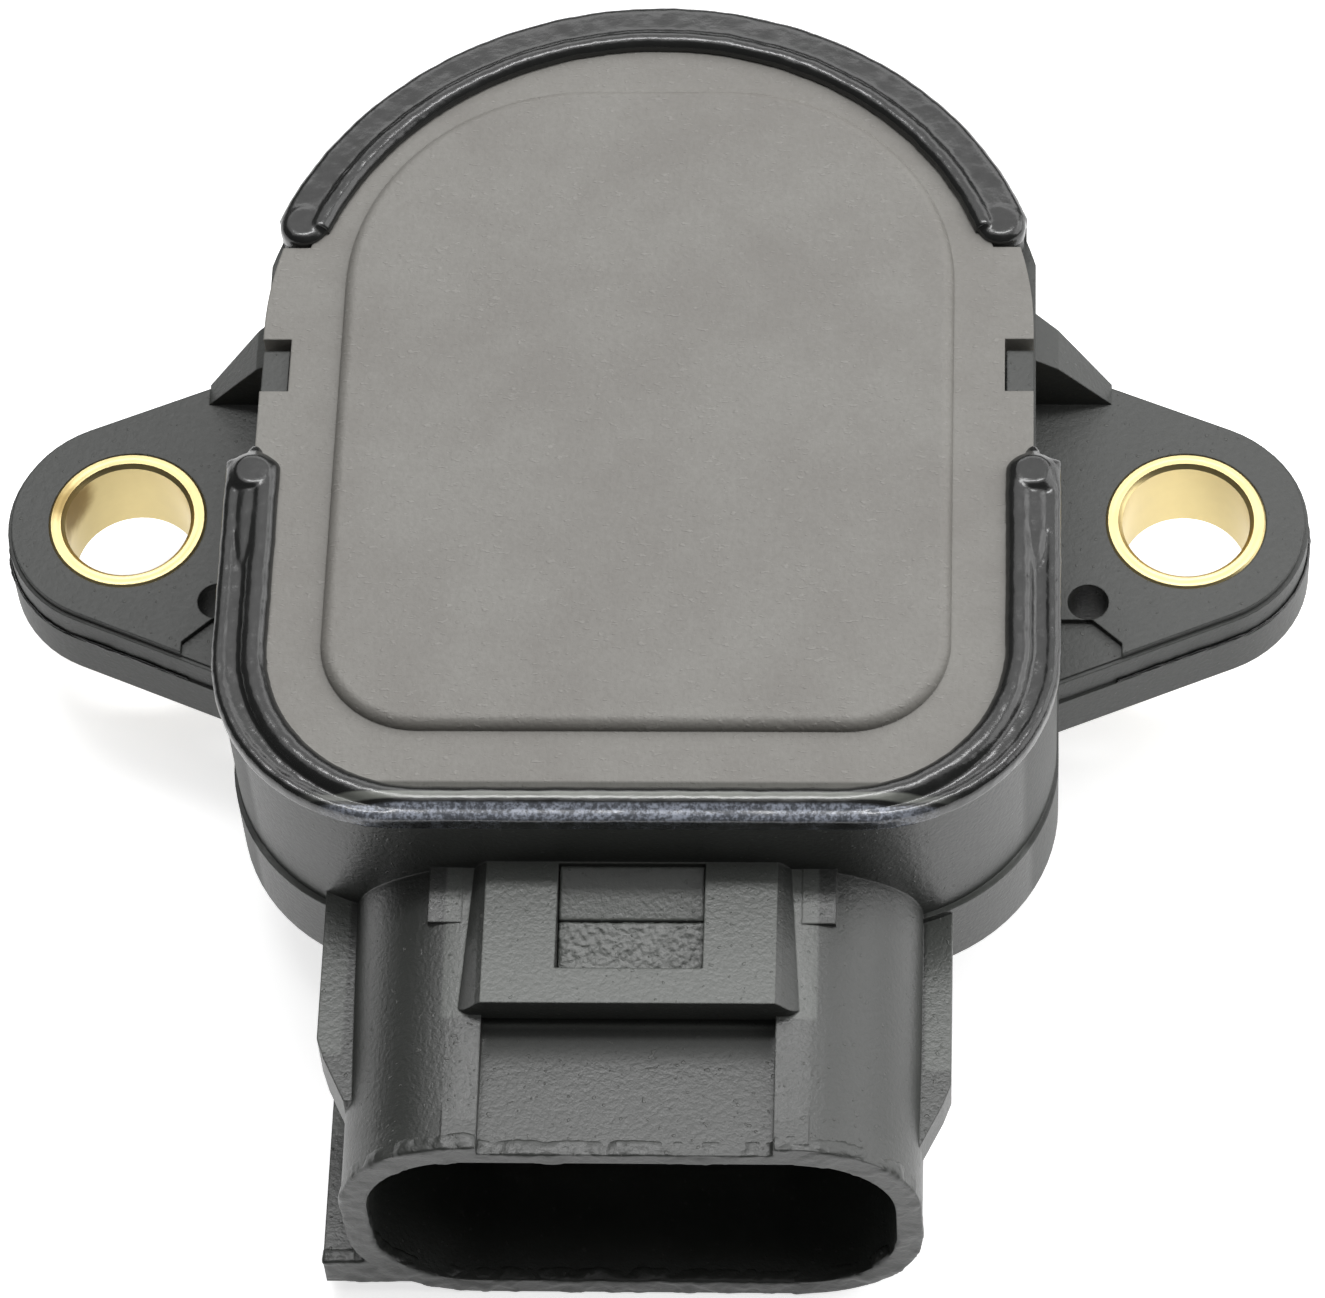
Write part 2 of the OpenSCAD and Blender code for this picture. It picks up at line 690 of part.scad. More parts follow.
// Rounded edge of the pad: tubes along its outline whose upper halves show
module pad_edge(radius) {
    half = pad_half - radius;
    low = radius - pad_front;
    high = pad_rear - radius;
    rear = pad_rear_r - radius;
    front = pad_front_r - radius;
    translate([0, 0, cover_top + pad_h - radius]) for (s = [0, 1]) mirror([s, 0, 0]) {
        translate([half, low + front, 0]) rotate([-90, 0, 0])
            cylinder(r = radius, h = high - rear - low - front);
        translate([half - front, low + front, 0]) rotate([0, 0, -90])
            rotate_extrude(angle = 90) translate([front, 0]) circle(r = radius);
        translate([half - rear, high - rear, 0])
            rotate_extrude(angle = 90) translate([rear, 0]) circle(r = radius);
        translate([-eps, low, 0]) rotate([0, 90, 0]) cylinder(r = radius, h = half - front + eps);
        translate([-eps, high, 0]) rotate([0, 90, 0]) cylinder(r = radius, h = half - rear + eps);
    }
}

module cover_seal() {
    color(rubber) translate([0, 0, seat_z - seal_h + cover_gap]) linear_extrude(seal_h - 2 * cover_gap)
        difference() {
            cavity_plan(seal_w - cover_gap);
            cavity_plan(0);
        }
}

// Turned ring with a chamfered mouth
module bush() {
    color(brass) rotate_extrude() polygon([
        [bush_bore_r, 0],
        [bush_r, 0],
        [bush_r, bush_len - 0.12],
        [bush_r - 0.12, bush_len],
        [bush_bore_r + 0.2, bush_len],
        [bush_bore_r, bush_len - 0.2]
    ]);
}

module left_bush() {
    translate([-hole_x, 0, 0]) bush();
}

module right_bush() {
    translate([hole_x, 0, 0]) bush();
}

module rotor_bearing() {
    color(brass) translate([0, 0, sleeve_low]) difference() {
        cylinder(r = sleeve_r, h = floor_t - sleeve_low);
        translate([0, 0, -1]) cylinder(r = hub_hole_r, h = far / 4);
    }
}

module rotor_seal() {
    color(rubber) translate([0, 0, -pilot_h + 0.1]) difference() {
        cylinder(r = sleeve_r + 1.2 - cover_gap, h = pilot_h + sleeve_low - 0.6);
        translate([0, 0, -1]) cylinder(r = hub_hole_r, h = far / 4);
    }
}

module thrust_washer() {
    color(tin) translate([0, 0, washer_z]) difference() {
        cylinder(r = shoulder_r, h = washer_t);
        translate([0, 0, -1]) cylinder(r = hub_hole_r, h = 3);
    }
}

module flange_seal() {
    color(rubber) translate([0, 0, -0.3 - 1.05 * flange_seal_r]) rotate_extrude()
        translate([pilot_r - 0.15 * flange_seal_r, 0]) circle(r = flange_seal_r);
}

// Places of the two stakes that hold the wiper plate on the rotor's disc
module at_stakes() {
    for (part = [0.25, 0.7]) rotate([0, 0, wiper_from + part * wiper_sweep])
        translate([wiper_mid_r, 0, 0]) children();
}

// Hub with the shaft socket, a sprung disc sector above it and a pivot on top
module rotor() {
    color([0.18, 0.18, 0.19]) difference() {
        union() {
            translate([0, 0, -pilot_h]) cylinder(r = hub_r, h = pilot_h + disc_z);
            translate([0, 0, shoulder_z]) cylinder(r = shoulder_r - 0.3, h = disc_z - shoulder_z + eps);
            translate([0, 0, disc_z]) cylinder(r = disc_r, h = disc_t);
            translate([0, 0, disc_top - eps]) cylinder(r = hub_r - 0.6, h = rotor_top - disc_top + eps);
            translate([0, 0, rotor_top - eps]) cylinder(r = pivot_r, h = seat_z - rotor_top);
            at_stakes() {
                translate([0, 0, disc_top - eps]) cylinder(r = stake_r, h = wiper_t + 2 * eps, $fn = 32);
                translate([0, 0, disc_top + wiper_t]) cylinder(r = stake_head_r, h = stake_head_h, $fn = 32);
            }
        }
        translate([0, 0, -pilot_h - eps]) cylinder(r = shaft_r, h = shaft_depth + eps);
        translate([-hub_r + 0.7, -blade_w / 2, -pilot_h - eps])
            cube([2 * (hub_r - 0.7), blade_w, shaft_depth + eps]);
    }
}

// Close-wound torsion spring with a leg at each end
module return_spring() {
    steps = 20;
    sides = 8;
    count = steps * spring_turns;
    leg = 2.4;
    path = concat(
        [[spring_r, -leg, spring_z]],
        [for (i = [0:count]) let (a = 360 * i / steps)
            [spring_r * cos(a), spring_r * sin(a), spring_z + spring_pitch * i / steps]],
        [[spring_r, leg, spring_z + spring_pitch * spring_turns]]
    );
    last = len(path) - 1;
    function along(i) = let (d = path[min(i + 1, last)] - path[max(i - 1, 0)]) d / norm(d);
    function side(i) = let (c = cross(along(i), [0, 0, 1])) c / norm(c);
    ring = [for (i = [0:last]) let (u = side(i), v = cross(u, along(i)))
        [for (k = [0:sides - 1]) path[i] + wire_r * (u * cos(360 * k / sides) + v * sin(360 * k / sides))]];
    points = [for (r = ring, p = r) p];
    walls = [for (i = [0:last - 1], k = [0:sides - 1]) let (n = (k + 1) % sides)
        [i * sides + k, i * sides + n, (i + 1) * sides + n, (i + 1) * sides + k]];
    ends = [[for (k = [0:sides - 1]) sides - 1 - k], [for (k = [0:sides - 1]) last * sides + k]];
    color(tin) polyhedron(points, concat(walls, ends));
}

// Part of a flat ring between two radii, over an angle from the -X side
module ring_arc(radius, width, from, sweep, height) {
    rotate([0, 0, from]) rotate_extrude(angle = sweep)
        translate([radius - width / 2, 0]) square([width, height]);
}

// Sprung finger that rises from the plate to a track
module finger(radius, reach) {
    rise = track_z - wiper_gap - disc_top;
    translate([0, 0.3 - radius, disc_top]) rotate([90, 0, 0]) linear_extrude(0.6) polygon([
        [-reach, 0],
        [-reach, wiper_t],
        [-0.4, rise],
        [0.4, rise],
        [0.4, rise - wiper_t],
        [-0.4, rise - wiper_t],
        [-reach + 0.9, 0]
    ]);
}

module wiper_plate() {
    color(tin) {
        difference() {
            translate([0, 0, disc_top]) ring_arc(wiper_mid_r, wiper_w, wiper_from, wiper_sweep, wiper_t);
            at_stakes() translate([0, 0, disc_top - 1]) cylinder(r = stake_r, h = 3, $fn = 32);
        }
        for (r = [collector_r, idle_r, resistor_r]) finger(r, 4.2);
    }
}

module track_board() {
    color([0.85, 0.84, 0.8]) translate([0, 0, board_z]) difference() {
        translate([-board_w / 2, board_mid - board_long / 2, 0]) cube([board_w, board_long, board_t]);
        translate([0, 0, -board_t]) cylinder(r = board_bore_r, h = 4 * board_t);
        for (i = [0:3]) translate([0, 0, -board_z]) terminal(i, 0.1);
    }
}

module resistor_track() {
    color([0.1, 0.1, 0.1]) translate([0, 0, track_z]) ring_arc(resistor_r, track_w, 255, 130, track_t);
}

module collector_track() {
    color([0.7, 0.7, 0.72]) translate([0, 0, track_z]) ring_arc(collector_r, track_w, 255, 130, track_t);
}

module idle_track() {
    color([0.7, 0.7, 0.72]) translate([0, 0, track_z]) ring_arc(idle_r, track_w * 0.8, 255, 24, track_t);
}

module supply_terminal() {
    color(tin) terminal(0);
}

module signal_terminal() {
    color(tin) terminal(1);
}

module idle_terminal() {
    color(tin) terminal(2);
}

module ground_terminal() {
    color(tin) terminal(3);
}

module solder_joints() {
    color([0.8, 0.8, 0.8]) for (i = [0:3]) difference() {
        translate([pin_x(i), tail_y - pin_t / 2, board_top])
            cylinder(r1 = tail_w * 0.875, r2 = tail_w * 0.625, h = pin_t * 0.875, $fn = 32);
        terminal(i);
    }
}

housing();
cover();
cover_seal();
left_bush();
right_bush();
rotor();
rotor_bearing();
rotor_seal();
thrust_washer();
return_spring();
wiper_plate();
track_board();
resistor_track();
collector_track();
idle_track();
supply_terminal();
signal_terminal();
idle_terminal();
ground_terminal();
solder_joints();
flange_seal();
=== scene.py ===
import math

import bpy
from mathutils import Matrix, Vector


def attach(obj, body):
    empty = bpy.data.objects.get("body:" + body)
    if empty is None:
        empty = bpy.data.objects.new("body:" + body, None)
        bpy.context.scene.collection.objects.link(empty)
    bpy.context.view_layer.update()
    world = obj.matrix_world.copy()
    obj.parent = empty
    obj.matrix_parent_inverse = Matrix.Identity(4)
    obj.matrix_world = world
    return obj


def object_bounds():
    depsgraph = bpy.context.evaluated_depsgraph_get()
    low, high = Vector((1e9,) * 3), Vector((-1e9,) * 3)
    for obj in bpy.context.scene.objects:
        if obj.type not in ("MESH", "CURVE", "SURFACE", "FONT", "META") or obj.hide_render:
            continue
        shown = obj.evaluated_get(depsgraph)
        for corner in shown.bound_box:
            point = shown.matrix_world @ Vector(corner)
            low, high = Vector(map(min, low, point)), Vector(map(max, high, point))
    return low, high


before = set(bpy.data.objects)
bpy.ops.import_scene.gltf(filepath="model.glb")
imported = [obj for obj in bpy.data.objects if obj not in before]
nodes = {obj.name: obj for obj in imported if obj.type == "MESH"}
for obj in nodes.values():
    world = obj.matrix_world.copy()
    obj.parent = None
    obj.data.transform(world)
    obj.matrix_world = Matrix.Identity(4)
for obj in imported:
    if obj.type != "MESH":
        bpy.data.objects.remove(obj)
cad_low, cad_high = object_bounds()
bpy.ops.object.select_all(action="DESELECT")

# Ground, light and camera
# The sensor lies on white, seen from in front and above. Wide soft lights hang above, behind
# and to its right, and the white ground throws light back on its lower sides. The ground is
# seen from above only, so that the mounting side can be looked at from below.
scene = bpy.context.scene
scene.view_settings.view_transform = "Standard"

camera_place = (0.01804, -0.16538, 0.26107)
camera_turn = math.radians(6.285)
camera_rise = math.radians(58.2)
camera_roll = math.radians(-5.24)
bpy.ops.object.camera_add()
camera = bpy.context.object
camera.matrix_world = (
    Matrix.Translation(camera_place)
    @ Matrix.Rotation(camera_turn, 4, "Z")
    @ Matrix.Rotation(math.pi / 2 - camera_rise, 4, "X")
    @ Matrix.Rotation(camera_roll, 4, "Z")
)
camera.data.sensor_width = 36
camera.data.lens = 172.68
camera.data.clip_start = 0.01
scene.camera = camera


def softbox(name, place, size, watts):
    """A rectangular lamp that points at the sensor."""
    bpy.ops.object.light_add(type="AREA", location=place)
    lamp = bpy.context.object
    lamp.name = name
    lamp.rotation_euler = (-Vector(place)).to_track_quat("-Z", "Y").to_euler()
    lamp.data.shape = "RECTANGLE"
    lamp.data.size, lamp.data.size_y = size
    lamp.data.energy = watts


softbox("light_above", (0.03, 0.2, 0.55), (0.95, 0.75), 2.45)
softbox("light_overhead", (0.0, 0.14, 0.6), (0.4, 0.08), 1.5)
softbox("light_back", (0.08, 0.55, 0.38), (0.7, 0.22), 1.0)
softbox("light_right", (0.45, 0.1, 0.3), (0.5, 0.35), 1.3)
softbox("light_low", (0.5, 0.25, 0.1), (0.4, 0.25), 0.4)

world = bpy.data.worlds.new("room")
scene.world = world
world.use_nodes = True
sky = world.node_tree.nodes
sky_links = world.node_tree.links
ray = sky.new("ShaderNodeLightPath")
level = sky.new("ShaderNodeMapRange")
level.inputs["To Min"].default_value = 0.07
level.inputs["To Max"].default_value = 1
sky_links.new(ray.outputs["Is Camera Ray"], level.inputs["Value"])
sky_links.new(level.outputs["Result"], sky["Background"].inputs["Strength"])
sky["Background"].inputs["Color"].default_value = (1, 1, 1, 1)


class Signal:
    """An output of a shader node; sums and products of signals and numbers add Math nodes."""

    def __init__(self, finish, socket):
        self.finish = finish
        self.socket = socket

    def math(self, operation, first, second):
        return self.finish.node("ShaderNodeMath", {"operation": operation}, {0: first, 1: second})

    def __add__(self, other):
        return self.math("ADD", self, other)

    def __sub__(self, other):
        return self.math("SUBTRACT", self, other)

    def __rsub__(self, other):
        return self.math("SUBTRACT", other, self)

    def __mul__(self, other):
        return self.math("MULTIPLY", self, other)

    __radd__ = __add__
    __rmul__ = __mul__


class Finish:
    """A material on one Principled shader, with patterns on Object coordinates in metres."""

    def __init__(self, name, **fixed):
        self.material = bpy.data.materials.new(name)
        self.material.use_nodes = True
        self.tree = self.material.node_tree
        self.shader = self.tree.nodes["Principled BSDF"]
        self.place = self.node("ShaderNodeTexCoord", output="Object")
        for socket, value in fixed.items():
            self.shader.inputs[socket.replace("_", " ")].default_value = value

    def node(self, kind, settings=None, inputs=None, output=0):
        made = self.tree.nodes.new(kind)
        for setting, value in (settings or {}).items():
            setattr(made, setting, value)
        for socket, value in (inputs or {}).items():
            self.feed(made.inputs[socket], value)
        return Signal(self, made.outputs[output])

    def feed(self, socket, value):
        if isinstance(value, Signal):
            self.tree.links.new(value.socket, socket)
        else:
            socket.default_value = value

    def set(self, socket, value):
        self.feed(self.shader.inputs[socket], value)

    def noise(self, size, detail=2.0, roughness=0.5, place=None):
        """Noise from 0 to 1 whose blotches are about size metres across."""
        inputs = {"Vector": place or self.place, "Scale": 1 / size, "Detail": detail, "Roughness": roughness}
        return self.node("ShaderNodeTexNoise", {}, inputs)

    def stretched(self, x, y, z):
        """Object coordinates scaled along each axis, for streaks."""
        return self.node("ShaderNodeMapping", {}, {"Vector": self.place, "Scale": (x, y, z)})

    def between(self, value, low, high):
        """0 below low, 1 above high and a smooth step between them."""
        inputs = {"Value": value, "From Min": low, "From Max": high}
        return self.node("ShaderNodeMapRange", {"interpolation_type": "SMOOTHSTEP"}, inputs)

    def blend(self, mask, first, second):
        """Colour that turns from first to second as mask goes from 0 to 1."""
        settings = {"data_type": "RGBA"}
        return self.node("ShaderNodeMix", settings, {"Factor": mask, 6: first, 7: second}, 2)

    def along(self, axis):
        """The coordinate along an axis, in metres."""
        return self.node("ShaderNodeSeparateXYZ", {}, {0: self.place}, axis)

    def absolute(self, value):
        return self.node("ShaderNodeMath", {"operation": "ABSOLUTE"}, {0: value})

    def facing(self, axis):
        """How far the surface faces along an axis, from -1 to 1."""
        normal = self.node("ShaderNodeNewGeometry", output="True Normal")
        return self.node("ShaderNodeSeparateXYZ", {}, {0: normal}, axis)

    def relief(self, height, depth, softened=0.0):
        """Bump of a given depth in metres at height 1, on edges rounded to a softened radius."""
        inputs = {"Height": height, "Distance": depth, "Strength": 1.0}
        if softened:
            inputs["Normal"] = self.node("ShaderNodeBevel", {"samples": 6}, {"Radius": softened})
        return self.node("ShaderNodeBump", {}, inputs)


bpy.ops.mesh.primitive_plane_add(size=3, location=(0, 0, cad_low.z - 0.0001))
ground = bpy.context.object
ground.name = "ground"
paper = Finish("white_paper", Base_Color=(0.86, 0.86, 0.86, 1), Roughness=0.9, Emission_Color=(1, 1, 1, 1))
seen = paper.node("ShaderNodeLightPath", output="Is Camera Ray")
mirrored = paper.node("ShaderNodeLightPath", output="Is Glossy Ray")
paper.set("Emission Strength", seen * 0.7 + mirrored * 0.66)
from_below = paper.node("ShaderNodeNewGeometry", output="Backfacing")
lit_paper = Signal(paper, paper.shader.outputs["BSDF"])
unseen = paper.node("ShaderNodeBsdfTransparent")
one_sided = paper.node("ShaderNodeMixShader", {}, {0: from_below, 1: lit_paper, 2: unseen})
paper.feed(paper.tree.nodes["Material Output"].inputs["Surface"], one_sided)
ground.data.materials.append(paper.material)


# Housing
# One moulding of black glass-filled plastic. Its matt skin shows fine fibres and a few pale
# flecks, and the plug socket was moulded against polished steel, so it shines a little more.
def dress(name, finish):
    nodes[name].data.materials.clear()
    nodes[name].data.materials.append(finish.material)


# Each pair is where a soft edge in the finish starts and ends, in metres from the rotor's axis
# or the mounting face.
socket_back = (-0.0182, -0.0176)
bridge_side = (0.0084, 0.0086)
wing_side = (0.0132, 0.0134)
painted_light_front = (-0.0297, -0.0294)
channel_side = (0.0063, 0.0067)
channel_top = (0.0081, 0.0084)
channel_back = (-0.0318, -0.0298)
black = Finish("black_moulding", Specular_IOR_Level=0.75)
depth = black.along("Y")
polished = 1 - black.between(depth, *socket_back)
cloud = black.noise(0.006, 3)
grain = black.noise(0.00022, 2, 0.6)
fleck = black.between(black.noise(0.0003, 1), 0.69, 0.76)
skin = black.blend(cloud, (0.027, 0.029, 0.0265, 1), (0.036, 0.0385, 0.035, 1))
skin = black.blend(fleck * 0.25, skin, (0.12, 0.12, 0.11, 1))
# Up-facing surfaces on the latch bridge, in its window and on the wings, from near the mouth back to the
# wall, are painted lighter: a painted highlight standing in for the light from above falling on them.
across = black.absolute(black.along("X"))
beside = 1 - black.between(across, *bridge_side) + black.between(across, *wing_side)
facing_up = black.between(black.facing("Z"), 0.8, 0.92)
painted_light_tops = beside * facing_up * black.between(depth, *painted_light_front) * polished
skin = black.blend(painted_light_tops * (0.75 + cloud * 0.25), skin, (0.098, 0.105, 0.096, 1))
black.set("Base Color", skin)
under_bridge = 1 - black.between(black.along("Z"), *channel_top)
in_channel = (1 - black.between(across, *channel_side)) * under_bridge
sheltered = in_channel * polished * black.between(depth, *channel_back)
black.set("Roughness", 0.46 + grain * 0.12 + cloud * 0.06 - polished * 0.14 + sheltered * 0.4)
black.set("Normal", black.relief(grain + fleck * 0.6, 0.00003, 0.00012))
dress("housing", black)


# Cover
# A flat grey moulding with a raised pad, held under the rim. The surface is matt, with fine
# mottling and short pale fibres, and a painted shadow darkens it along the front rim.
grey = Finish("grey_moulding")
mottle = grey.noise(0.0055, 6, 0.68)
fine = grey.noise(0.00025, 2, 0.6)
fibre = grey.between(grey.noise(0.00045, 2, 0.5, grey.stretched(1, 2.2, 1)), 0.6, 0.72)
tone = grey.blend(grey.between(mottle, 0.3, 0.7), (0.212, 0.203, 0.187, 1), (0.252, 0.246, 0.228, 1))
tone = grey.blend(fine * 0.5, tone, (0.165, 0.156, 0.142, 1))
tone = grey.blend(fibre * 0.22, tone, (0.38, 0.37, 0.35, 1))
# A thin dark band of painted shadow on the cover where it meets the front rim.
rim_shadow_edge = (-0.02025, -0.02006)
painted_rim_shadow = (1 - grey.between(grey.along("Y"), *rim_shadow_edge)) * (0.7 + mottle * 0.5)
grey.set("Base Color", grey.blend(painted_rim_shadow, tone, (0.055, 0.054, 0.045, 1)))
grey.set("Roughness", 0.48 + fine * 0.15)
grey.set("Normal", grey.relief(fine + fibre * 0.5, 0.00003, 0.00012))
dress("cover", grey)


# Hot-formed rims
# Once the cover was in, the top edge of the wall was softened with a heated tool and pressed
# over it, in front and behind. The plastic flowed there, so the rims are rounder, glossier and
# less even than the rest of the moulding.
flow_marks = bpy.data.textures.new("flow_marks", "CLOUDS")
flow_marks.noise_scale = 0.0011


def shape(piece, kind, **settings):
    """Adds a modifier and applies it."""
    modifier = piece.modifiers.new(kind.lower(), kind)
    for setting, value in settings.items():
        setattr(modifier, setting, value)
    bpy.ops.object.modifier_apply(modifier=modifier.name)


def moulded_copy(name, cuts, finish, soften=10, swell=0.00007, uneven=0.00007, add_ends=(), ribbon=0.0):
    """The part of the housing in front of every cut plane, softened, swollen and made uneven.

    A ribbon is only the skin between the cuts, thickened outwards, so holes stay open."""
    bpy.ops.object.select_all(action="DESELECT")
    nodes["housing"].select_set(True)
    bpy.context.view_layer.objects.active = nodes["housing"]
    bpy.ops.object.duplicate()
    piece = bpy.context.object
    piece.name = piece.data.name = name
    bpy.ops.object.mode_set(mode="EDIT")
    bpy.ops.mesh.select_all(action="SELECT")
    bpy.ops.mesh.remove_doubles(threshold=0.000001)
    for place, normal in cuts:
        bpy.ops.mesh.select_all(action="SELECT")
        bpy.ops.mesh.bisect(plane_co=place, plane_no=normal, use_fill=not ribbon, clear_inner=True)
    for end in add_ends:
        bpy.ops.mesh.select_all(action="DESELECT")
        bpy.ops.mesh.primitive_uv_sphere_add(segments=32, ring_count=16, radius=0.0012, location=end)
        bpy.ops.transform.resize(value=(0.62, 3.0, 0.34), center_override=end)
    bpy.ops.object.mode_set(mode="OBJECT")
    if ribbon:
        shape(piece, "SOLIDIFY", thickness=ribbon, offset=1.0)
    shape(piece, "REMESH", mode="VOXEL", voxel_size=0.00006 if ribbon else 0.0001)
    shape(piece, "SMOOTH", factor=0.5, iterations=soften)
    shape(piece, "DISPLACE", strength=swell, mid_level=0.0)
    shape(piece, "DISPLACE", texture=flow_marks, strength=uneven, mid_level=0.5)
    bpy.ops.object.shade_smooth()
    piece.data.materials.clear()
    piece.data.materials.append(finish.material)
    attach(piece, "casing")


formed = Finish("formed_plastic", Specular_IOR_Level=0.7)
middle_side = (0.0112, 0.0155)
crest_highlight_front, crest_highlight_back = (-0.02142, -0.0213), (-0.02108, -0.02096)
glint_band_front, glint_band_back = (-0.02235, -0.0222), (-0.02165, -0.0215)
flow = formed.noise(0.0009, 3, 0.6)
speck = formed.noise(0.00016, 2, 0.6)
depth = formed.along("Y")
middle = 1 - formed.between(formed.absolute(formed.along("X")), *middle_side)
# A pale cream line along the crest of the front rim, in its middle, is a painted highlight.
crest_highlight = formed.between(depth, *crest_highlight_front) * (1 - formed.between(depth, *crest_highlight_back))
# A pale bluish speckled band on the outer front of the front rim, in its middle, is painted glints: a
# painted highlight, not a change in the plastic.
glint_band = formed.between(depth, *glint_band_front) * (1 - formed.between(depth, *glint_band_back))
gloss = formed.blend(flow, (0.011, 0.0115, 0.011, 1), (0.018, 0.0185, 0.018, 1))
gloss = formed.blend(crest_highlight * middle * (0.5 + flow * 0.5), gloss, (0.24, 0.25, 0.225, 1))
bright = formed.between(speck * 0.6 + flow * 0.4, 0.42, 0.62)
gloss = formed.blend(glint_band * middle * (0.22 + bright * 0.7), gloss, (0.36, 0.39, 0.46, 1))
formed.set("Base Color", gloss)
formed.set("Roughness", 0.12 + flow * 0.2)
formed.set("Normal", formed.relief(speck, 0.000008))

rim_underside = 0.01334
front_rim_back, rear_rim_front = -0.0025, 0.00945
rim_ends = ((-0.018165, -0.0056, 0.01402), (0.018165, -0.0056, 0.01402))
above_wall = ((0, 0, rim_underside), (0, 0, 1))
front_of_notches = ((0, front_rim_back, 0), (0, -1, 0))
behind_notches = ((0, rear_rim_front, 0), (0, 1, 0))
moulded_copy("rim_front", (above_wall, front_of_notches), formed, add_ends=rim_ends)
moulded_copy("rim_rear", (above_wall, behind_notches), formed)


# Mouth lip and flash
# The lip of the plug socket is slightly rounded and ragged, and where the halves of the mould
# met, plastic crept out in a thin uneven line round both ears.
lip_back = -0.0353
flash_low, flash_high = 0.00252, 0.00268
body_side = 0.0222
moulded_copy("mouth_lip", (((0, lip_back, 0), (0, -1, 0)),), black, 4, 0.00003, 0.0003)
for side, name in ((-1, "left_flash"), (1, "right_flash")):
    parting = (
        ((0, 0, flash_low), (0, 0, 1)),
        ((0, 0, flash_high), (0, 0, -1)),
        ((side * body_side, 0, 0), (side, 0, 0)),
    )
    moulded_copy(name, parting, formed, 1, 0.00002, 0.00025, ribbon=0.00012)


# Latch window
# Inside the latch bridge the floor rises to the wall as a smooth ledge, and its lower half, a
# small step down, was left with the pebbled grain of the mould.
pebbles = bpy.data.textures.new("pebbles", "CLOUDS")
pebbles.noise_scale = 0.00024


def window_floor(name, back, front, drop, relief):
    """A block across the window whose top falls by drop from its back edge, (y, z), to front."""
    bpy.ops.object.select_all(action="DESELECT")
    back_y, top = back
    width, foot = 0.00668, 0.00785
    middle = (0, (back_y + front) / 2, (top + foot) / 2)
    bpy.ops.mesh.primitive_cube_add(size=1, location=middle, scale=(width, back_y - front, top - foot))
    bpy.ops.object.transform_apply(location=True, rotation=True, scale=True)
    block = bpy.context.object
    block.name = block.data.name = name
    bpy.ops.object.mode_set(mode="EDIT")
    bpy.ops.mesh.select_all(action="DESELECT")
    bpy.ops.object.mode_set(mode="OBJECT")
    for corner in block.data.vertices:
        corner.select = corner.co.z > middle[2] and corner.co.y < middle[1]
    bpy.ops.object.mode_set(mode="EDIT")
    bpy.ops.transform.translate(value=(0, 0, -drop))
    bpy.ops.mesh.select_all(action="SELECT")
    bpy.ops.mesh.bevel(offset=0.00008, segments=2, affect="EDGES")
    bpy.ops.object.mode_set(mode="OBJECT")
    shape(block, "REMESH", mode="VOXEL", voxel_size=0.00006)
    shape(block, "DISPLACE", texture=pebbles, strength=relief, mid_level=0.5)
    bpy.ops.object.shade_smooth()
    block.data.materials.append(black.material)
    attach(block, "casing")


step_y = -0.0247
window_floor("window_ledge", (-0.0222, 0.00995), step_y, 0.0007, 0.00002)
window_floor("window_grain", (step_y, 0.00918), -0.02763, 0.0006, 0.0001)


# Ear bushes
# Two turned brass rings moulded into the ears. Their faces show fine turning lines, and the
# bores are paler, with a brown stain in the left one.
def brass(name, middle_x, stain_place):
    finish = Finish(name, Metallic=1.0)
    centred = finish.node(
        "ShaderNodeMapping", {}, {"Vector": finish.place, "Location": (-middle_x, 0, 0)}
    )
    turned = finish.node(
        "ShaderNodeTexWave",
        {"wave_type": "RINGS", "rings_direction": "Z"},
        {"Vector": centred, "Scale": 1100.0, "Distortion": 1.5, "Detail": 2.0},
    )
    blotch = finish.noise(0.0012, 3)
    dirt = finish.node(
        "ShaderNodeVectorMath", {"operation": "DISTANCE"}, {0: finish.place, 1: stain_place}, "Value"
    )
    stain = 1 - finish.between(dirt + blotch * 0.0012, 0.0014, 0.0026)
    metal = finish.blend(blotch, (0.68, 0.55, 0.27, 1), (0.78, 0.65, 0.33, 1))
    finish.set("Base Color", finish.blend(stain * 0.8, metal, (0.3, 0.2, 0.07, 1)))
    finish.set("Roughness", 0.3 + blotch * 0.12 + stain * 0.2)
    finish.set("Normal", finish.relief(turned, 0.000006))
    return finish


dress("left_bush", brass("left_brass", -0.0255, (-0.0285, 0.0012, 0.0038)))
dress("right_bush", brass("right_brass", 0.0255, (0.0285, 0.004, -0.004)))


# Rotor and wiper
# The drive hub is moulded in plain black plastic, and the sprung wiper plate that is staked
# to it is bright copper alloy.
rotor_plastic = Finish("rotor_moulding")
rotor_cloud = rotor_plastic.noise(0.004, 3)
rotor_skin = rotor_plastic.blend(rotor_cloud, (0.04, 0.04, 0.042, 1), (0.06, 0.06, 0.063, 1))
rotor_plastic.set("Base Color", rotor_skin)
rotor_plastic.set("Roughness", 0.42 + rotor_cloud * 0.15)
rotor_plastic.set("Normal", rotor_plastic.relief(rotor_plastic.noise(0.0003), 0.00001))
dress("rotor", rotor_plastic)


def metal(name, dark, light, roughness, size=0.0006):
    finish = Finish(name, Metallic=1.0)
    brushed = finish.noise(size, 3, 0.6, finish.stretched(1, 6, 1))
    finish.set("Base Color", finish.blend(brushed, dark, light))
    finish.set("Roughness", roughness + brushed * 0.15)
    finish.set("Normal", finish.relief(brushed, 0.000003))
    return finish


dress("wiper_plate", metal("wiper_alloy", (0.72, 0.5, 0.3, 1), (0.82, 0.62, 0.42, 1), 0.2))


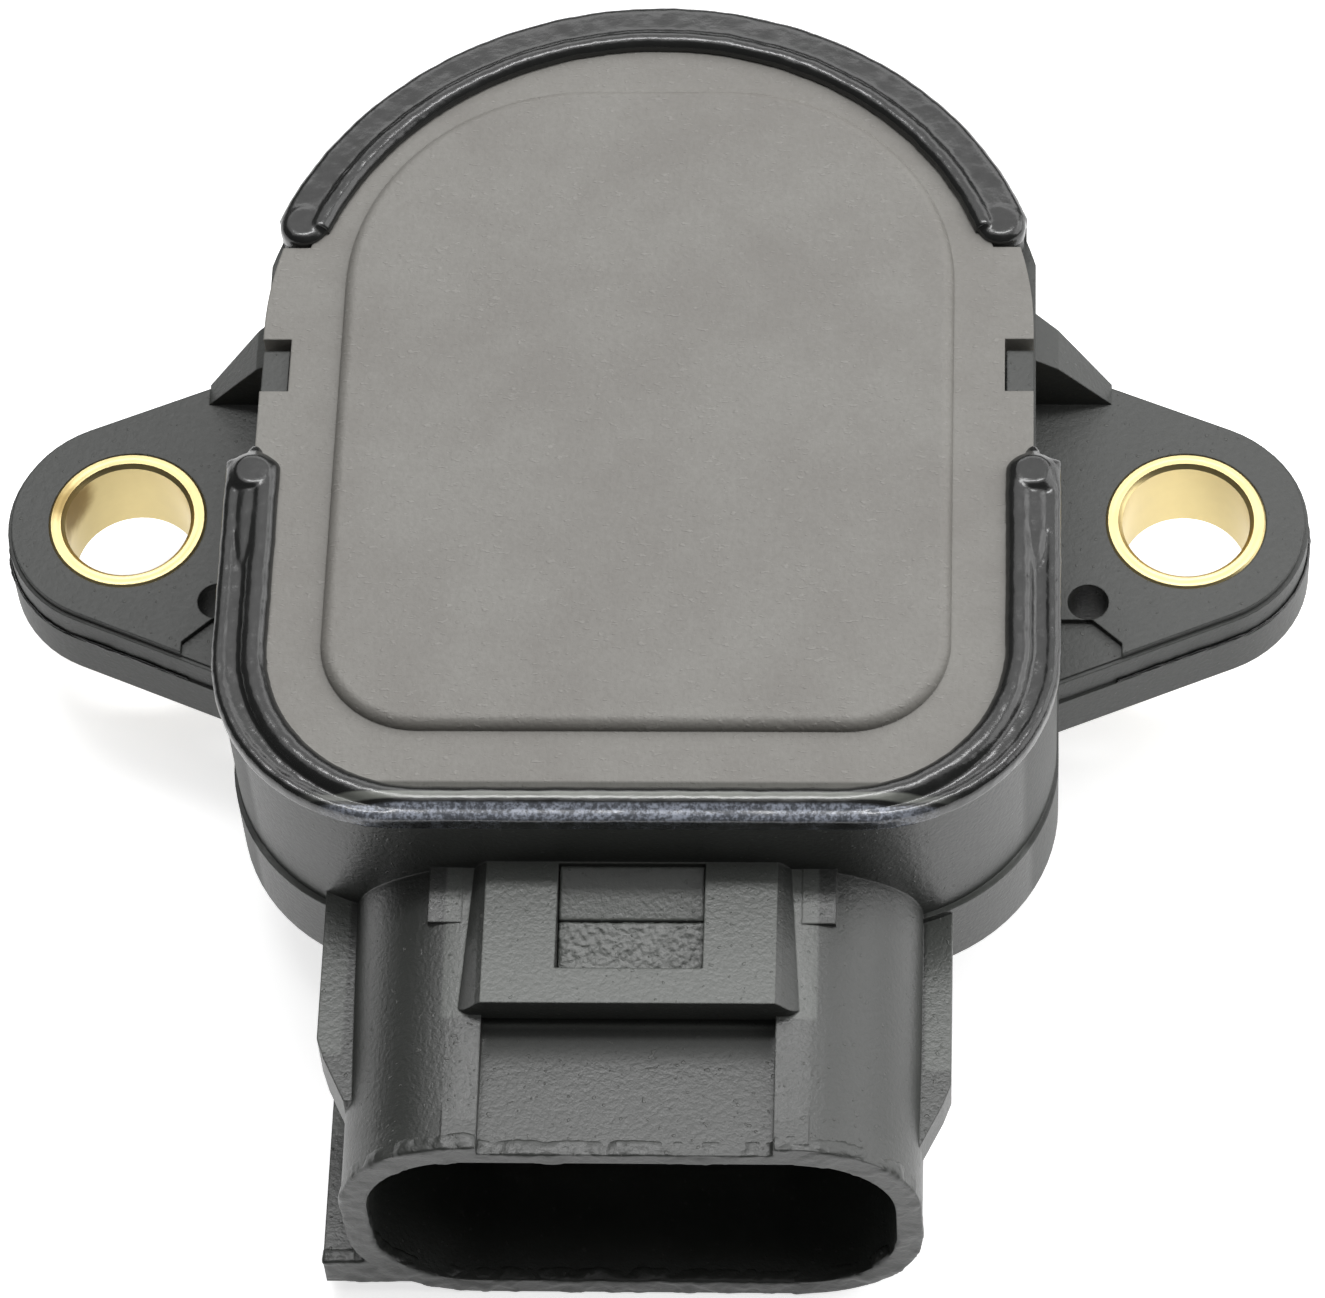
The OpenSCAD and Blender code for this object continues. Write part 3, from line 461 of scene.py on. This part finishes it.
# Bearing, washer and return spring
# A sintered bronze sleeve, a thin steel washer and a spring of drawn steel wire.
dress("rotor_bearing", metal("sintered_bronze", (0.35, 0.24, 0.12, 1), (0.5, 0.36, 0.18, 1), 0.42, 0.0003))
dress("thrust_washer", metal("washer_steel", (0.5, 0.5, 0.5, 1), (0.62, 0.62, 0.62, 1), 0.25))
dress("return_spring", metal("spring_wire", (0.4, 0.4, 0.41, 1), (0.55, 0.55, 0.56, 1), 0.22))


# Seals
# Moulded black rubber rings, a little dusty.
def rubber(name):
    finish = Finish(name)
    dust = finish.noise(0.0015, 4, 0.65)
    finish.set("Base Color", finish.blend(dust, (0.012, 0.012, 0.012, 1), (0.03, 0.029, 0.028, 1)))
    finish.set("Roughness", 0.55 + dust * 0.25)
    finish.set("Normal", finish.relief(finish.noise(0.0003), 0.000012))
    return finish


seal_rubber = rubber("seal_rubber")
dress("cover_seal", seal_rubber)
dress("rotor_seal", seal_rubber)
dress("flange_seal", seal_rubber)


# Track board
# A white ceramic board with a printed carbon arc and two silver ones, and its four joints.
ceramic = Finish("ceramic")
bisque = ceramic.noise(0.0008, 3)
ceramic.set("Base Color", ceramic.blend(bisque, (0.72, 0.7, 0.63, 1), (0.8, 0.78, 0.72, 1)))
ceramic.set("Roughness", 0.5 + bisque * 0.2)
ceramic.set("Normal", ceramic.relief(bisque, 0.000008))
dress("track_board", ceramic)

carbon = Finish("carbon_film")
ink = carbon.noise(0.0004, 3)
carbon.set("Base Color", carbon.blend(ink, (0.012, 0.012, 0.013, 1), (0.03, 0.03, 0.03, 1)))
carbon.set("Roughness", 0.35 + ink * 0.2)
dress("resistor_track", carbon)

silver_film = metal("silver_film", (0.6, 0.59, 0.57, 1), (0.72, 0.71, 0.69, 1), 0.35)
dress("collector_track", silver_film)
dress("idle_track", silver_film)
dress("solder_joints", metal("solder", (0.55, 0.55, 0.55, 1), (0.7, 0.7, 0.7, 1), 0.18, 0.0012))


# Terminals
# Four blades stamped from tinned brass strip.
tinned = metal("tinned_brass", (0.6, 0.58, 0.54, 1), (0.72, 0.7, 0.66, 1), 0.24)
for terminal in ("supply_terminal", "signal_terminal", "idle_terminal", "ground_terminal"):
    dress(terminal, tinned)
